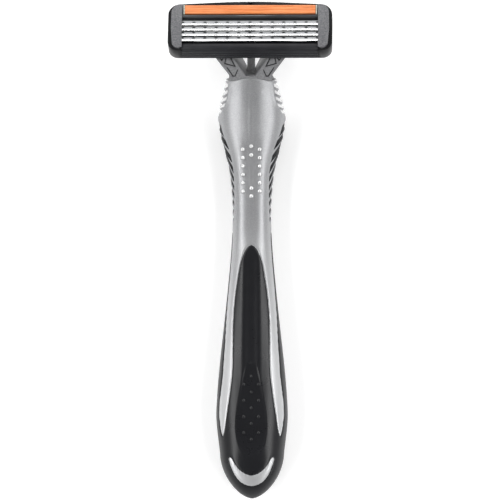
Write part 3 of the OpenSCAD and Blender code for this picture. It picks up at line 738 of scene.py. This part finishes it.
def knob(centre, normal, r, tall):
    """Low dome standing on the surface."""
    rings, sides = 4, 14
    n = Vector(normal).normalized()
    a = n.orthogonal().normalized()
    b = n.cross(a)
    verts, faces = [], []
    for k in range(rings + 1):
        th = math.pi / 2 * k / rings
        for q in range(sides if k < rings else 1):
            ph = 2 * math.pi * q / sides
            rr = r * math.cos(th)
            level = a * rr * math.cos(ph) + b * rr * math.sin(ph)
            verts.append(Vector(centre) + level + n * tall * math.sin(th))
    foot = len(verts)
    for q in range(sides):
        ph = 2 * math.pi * q / sides
        verts.append(Vector(centre) + (a * math.cos(ph) + b * math.sin(ph)) * r * 1.02 - n * 0.25)
    for k in range(rings - 1):
        for q in range(sides):
            p = (q + 1) % sides
            faces.append((k * sides + q, k * sides + p, (k + 1) * sides + p, (k + 1) * sides + q))
    top = rings * sides
    for q in range(sides):
        p = (q + 1) % sides
        faces.append(((rings - 1) * sides + q, (rings - 1) * sides + p, top))
        faces.append((foot + q, foot + p, p, q))
    faces.append(tuple(foot + q for q in reversed(range(sides))))
    return verts, faces


def on_front(x, y):
    """Point and normal of the finished surface over (x, y)."""
    d = (P[..., 0] - x) ** 2 + (P[..., 1] - y) ** 2 + np.where(FRONT, 0, 99)
    i, j = np.unravel_index(np.argmin(d), d.shape)
    p = P[i, j].copy()
    p[0], p[1] = x, y
    return p, N[i, j]


def with_knobs(verts, faces, places, r, tall):
    """The mesh with a knob at each (x, y)."""
    verts, faces = [tuple(v) for v in verts], list(faces)
    for x, y in places:
        p, n = on_front(x, y)
        kv, kf = knob(p - n * 0.03, n, r, tall)
        base = len(verts)
        verts += [tuple(v) for v in kv]
        faces += [tuple(i + base for i in f) for f in kf]
    return verts, faces


# Silver skin, thicker at the shoulders, with nubs at the waist
NUBS = [(s * 2.25, 26.4 - 2.2 * i) for s in (-1, 1) for i in range(6)]
NUBS += [(0, y) for y in (27.2, 24.9, 16.2, 14.1)]
mesh = with_knobs(*shell_from_grid(silver, np.where(GY > 30, 2.15, 1.25)), NUBS, r=0.62, tall=0.46)
skin = piece("handle_silver", row(mesh[0]), mesh[1], "handle", "silver_plastic", ["handle_skin"], sharp=50)


def on_painted_highlight(p):
    """Whether a point lies on the land of a rib or on a nub, where the highlight is painted."""
    x, y, z = abs(p[0]), p[1], p[2]
    out = x - panel_edge(y)
    on_land = out > 0.15 and y > 35.6 and z > 3.6 and abs(rib_beat(y, out) - 0.5) < 0.27
    return on_land or z > 6 and any(math.hypot(p[0] - a, y - b) < 0.5 for a, b in NUBS)


# The rib lands and the nub tops take the paler silver: a painted highlight
repaint(skin, painted_highlight_silver(), on_painted_highlight)

# Rubber, with small nubs on the thumb pad; the duller rubber, painted darker as shade, ends along the last
# fin
PAD_NUBS = [(0, -33.4 - 4.15 * i) for i in range(5)]
PAD_NUBS += [(s * 1.95, -35.5 - 4.25 * i) for s in (-1, 1) for i in range(4)]
mesh = with_knobs(*shell_from_grid(-silver, np.full(X.shape, 1.2)), PAD_NUBS, r=0.48, tall=0.30)
rubber = piece("handle_rubber", row(mesh[0]), mesh[1], "handle", "grip_rubber", ["rubber_grip"], sharp=50)
repaint(rubber, fin_rubber(), lambda p: p[1] > 3.2 and past_fin(SLABS[-1], *p) > -0.4)


# ---------------------------------------------------------------- the other pieces
for node, body, slot, bevel in (
        ("handle_core", "handle", "core_plastic", 0.12),
        ("rear_bridge", "cartridge", "black_plastic", 0.14),
        ("cartridge_frame", "cartridge", "black_plastic", 0.16),
        ("guard", "cartridge", "guard_rubber", 0.05),
        ("lubricating_strip", "cartridge", "strip_orange", 0.04),
        ("end_cap_left", "cartridge", "cap_plastic", 0.14),
        ("end_cap_right", "cartridge", "cap_plastic", 0.14)):
    from_cad(node, body, slot, bevel)

tongue = from_cad("return_tongue", "tongue", "yoke_plastic", 0.12)
# The tongue takes a paler copy of the yoke's grey: painted light on a part that sits in shade below the arms
tongue.data.materials[0] = moulded_grey("tongue_painted_light", (0.30, 0.302, 0.31), (0.42, 0.422, 0.43))


def in_engraving(p):
    """Whether a point lies inside the engraved lines, just under the front of the arms."""
    up = (p[2] - NECK[1]) * NECK_AXIS[1] - (p[1] - NECK[0]) * NECK_AXIS[2]
    return 2.9 < up < 3.36 and abs(p[0]) > 3.0


yoke = from_cad("yoke", "connector", "yoke_plastic", 0.05)
# The engraved lines are painted near black: painted shade in the grooves
repaint(yoke, moulded_grey("engraving_painted_shade", (0.02, 0.02, 0.022), (0.035, 0.035, 0.038)), in_engraving)

# The detent spring gets a mesh of its own; on the razor it is pressed flat as the shank slides over its crown
detent = from_cad("detent_spring", "handle", "spring_steel", 0.04)
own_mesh(detent)

# The holder's ends carry a pale lock at each end of the strip
HOLDER = [(8.95, -2.0), (8.95, -0.3), (9.15, -0.02), (9.55, 0.08), (9.8, -0.1), (9.85, -1.25),
          (12.6, -1.25), (12.6, -0.6), (12.72, -0.6), (12.72, -2.0)]
HOLDER_HALF, HOLDER_EDGE = 17.85, 0.05


def head_block(side, u, v, w):
    """Block in cartridge axes, between the two values of each axis, on one side of the middle."""
    u0, u1 = sorted((side * u[0], side * u[1]))
    outline = [(u0, v[0]), (u1, v[0]), (u1, v[1]), (u0, v[1])]
    return between(*(head([[a, b, level] for a, b in outline]) for level in w), HOLDER_EDGE)


holder_parts = [prism(HOLDER, -HOLDER_HALF, HOLDER_HALF, head, HOLDER_EDGE)]
for side in (-1, 1):
    holder_parts.append(head_block(side, (17.5, HOLDER_HALF), (9.3, 12.7), (-1.5, 0.0)))
    holder_parts.append((head_block(side, (17.16, 17.48), (10.0, 12.55), (-1.3, 0.02)), 1))
joined("strip_holder_look", holder_parts, "cartridge", ["strip_holder"],
       [MATS["holder_plastic"], MATS["strip_lock"]])

# ---------------------------------------------------------------- blades
FIRST_EDGE, BLADE_PITCH, BLADE_HALF = 2.2, 1.52, 18.1
BLADE_W, BLADE_T, GROUND_W = 1.45, 0.12, 0.5
BLADE_ANGLE = math.radians(18)
EDGE_T = 0.004
WELD_PITCH, WELD_S = 2.94, 0.94


def on_blade(i, points):
    """Head axes of points (u, s, t): s back from the edge of blade i, t off its middle plane."""
    u, s_, t = np.asarray(points, float).reshape(-1, 3).T
    c, s = math.cos(BLADE_ANGLE), math.sin(BLADE_ANGLE)
    return np.c_[u, FIRST_EDGE + BLADE_PITCH * i + s_ * c + t * s, -s_ * s + t * c]


def oval(bm, i, u, half_u, half_s, lift):
    """Ring of vertices round a weld's middle, lift above the face of blade i."""
    turns = [2 * math.pi * k / 16 for k in range(16)]
    points = [(u + half_u * math.cos(a), WELD_S + half_s * math.sin(a), BLADE_T / 2 + lift) for a in turns]
    return [bm.verts.new(p) for p in head(on_blade(i, points))]


def weld(i, u):
    """Oval laser weld: a shallow dished ring with a raised bead in it, on a foot inside the blade."""
    bm = bmesh.new()
    rings = [(0.46, 0.24, 0.002), (0.42, 0.21, 0.016), (0.30, 0.14, 0.008), (0.15, 0.07, 0.012)]
    loops = [oval(bm, i, u, *ring) for ring in rings]
    foot = oval(bm, i, u, 0.4, 0.18, -0.04)
    for a, b in zip([foot] + loops[:-1], loops):
        for k in range(len(a)):
            q = (k + 1) % len(a)
            bm.faces.new([a[k], a[q], b[q], b[k]])
    bm.faces.new(loops[-1])
    bm.faces.new(foot[::-1])
    return bm


flat = BLADE_T / 2
SECTION = [(0, EDGE_T), (GROUND_W, flat), (BLADE_W, flat), (BLADE_W, -flat), (GROUND_W, -flat), (0, -EDGE_T)]
for i in range(4):
    body = f"blade_unit_{i + 1}"
    bm = prism(SECTION, -BLADE_HALF, BLADE_HALF, lambda q, i=i: head(on_blade(i, q)))
    bm.faces.ensure_lookup_table()
    for k in (1, 2, 3):
        # the flats and the back of the strip are duller than its ground edge
        bm.faces[k].material_index = 1
    welds = [(weld(i, k * WELD_PITCH), 2) for k in range(-6, 7)]
    joined(f"blade_{i + 1}_look", [bm] + welds, body, [f"blade_{i + 1}"],
           [MATS["blade_steel"], MATS["support_steel"], MATS["weld_dark"]])
    springs = from_cad(f"blade_springs_{i + 1}", "cartridge", "black_plastic", 0.03)
    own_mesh(springs)
    from_cad(f"blade_support_{i + 1}", body, "support_steel", 0.02)

# ---------------------------------------------------------------- stage, lights and camera
bpy.context.view_layer.update()


def floor_white():
    n = Nodes("floor_white", Roughness=0.9, Specular_IOR_Level=0.2, Emission_Strength=0.27)
    n.bsdf.inputs["Emission Color"].default_value = (1, 1, 1, 1)
    return n.set(Base_Color=n.ramp(n.noise(3), [(0.3, (0.86, 0.86, 0.86)), (0.7, (0.875, 0.875, 0.875))]))


me = bpy.data.meshes.new("floor")
me.from_pydata([(-4, -4, 0), (4, -4, 0), (4, 4, 0), (-4, 4, 0)], [], [(0, 1, 2, 3)])
floor = linked("floor", me, [floor_white()])

# The sky of the studio is bright round the sides and dim overhead, so that black parts stay black;
# each stop is (height, level)
SKY = [(0.12, 0.82), (0.52, 0.36), (0.84, 0.02)]
world = bpy.data.worlds.new("studio")
world.use_nodes = True
bpy.context.scene.world = world
sky = world.node_tree.nodes
split = sky.new("ShaderNodeSeparateXYZ")
fade = sky.new("ShaderNodeValToRGB")
set_stops(fade.color_ramp, [(height, (level,) * 3) for height, level in SKY])
world.node_tree.links.new(sky.new("ShaderNodeTexCoord").outputs["Generated"], split.inputs[0])
world.node_tree.links.new(split.outputs["Z"], fade.inputs["Fac"])
world.node_tree.links.new(fade.outputs["Color"], sky["Background"].inputs["Color"])
sky["Background"].inputs["Strength"].default_value = 1.0


def softbox(name, place, aim, size, power):
    """Rectangular lamp; size is its level width, then its height."""
    lamp = bpy.data.lights.new(name, "AREA")
    lamp.shape = "RECTANGLE"
    lamp.size, lamp.size_y = size
    lamp.energy = power
    ob = bpy.data.objects.new(name, lamp)
    bpy.context.scene.collection.objects.link(ob)
    ob.location = place
    ob.rotation_euler = (Vector(aim) - Vector(place)).to_track_quat("-Z", "Y").to_euler()
    ob.visible_camera = False


for side_name, side_x in (("left", -0.36), ("right", 0.36)):
    softbox(side_name, (side_x, 0.0, 0.46), (0, 0, 0.01), (1.0, 0.2), 3.0)
softbox("head_end", (0, 0.75, 0.36), (0, 0.05, 0.01), (0.9, 0.16), 2.4)
softbox("key", (0, 0.34, 0.58), (0, 0, 0.01), (0.12, 0.12), 0.3)

camera = bpy.data.objects.new("camera", bpy.data.cameras.new("camera"))
bpy.context.scene.collection.objects.link(camera)
bpy.context.scene.camera = camera
camera.data.sensor_width = 36
camera.data.lens = 270
camera.data.clip_end = 20
# The camera stands a little to the right and is turned back to the middle of the head
CAMERA_SIDE, CAMERA_UP, HEAD_UP = 0.0385, 1.0, 0.02
camera.location = (CAMERA_SIDE, (SHIFT - 0.09) * MM, CAMERA_UP)
camera.rotation_euler = (0, math.atan2(CAMERA_SIDE, CAMERA_UP - HEAD_UP), 0)
bpy.context.scene.view_settings.view_transform = "Standard"
bpy.context.scene.view_settings.look = "None"
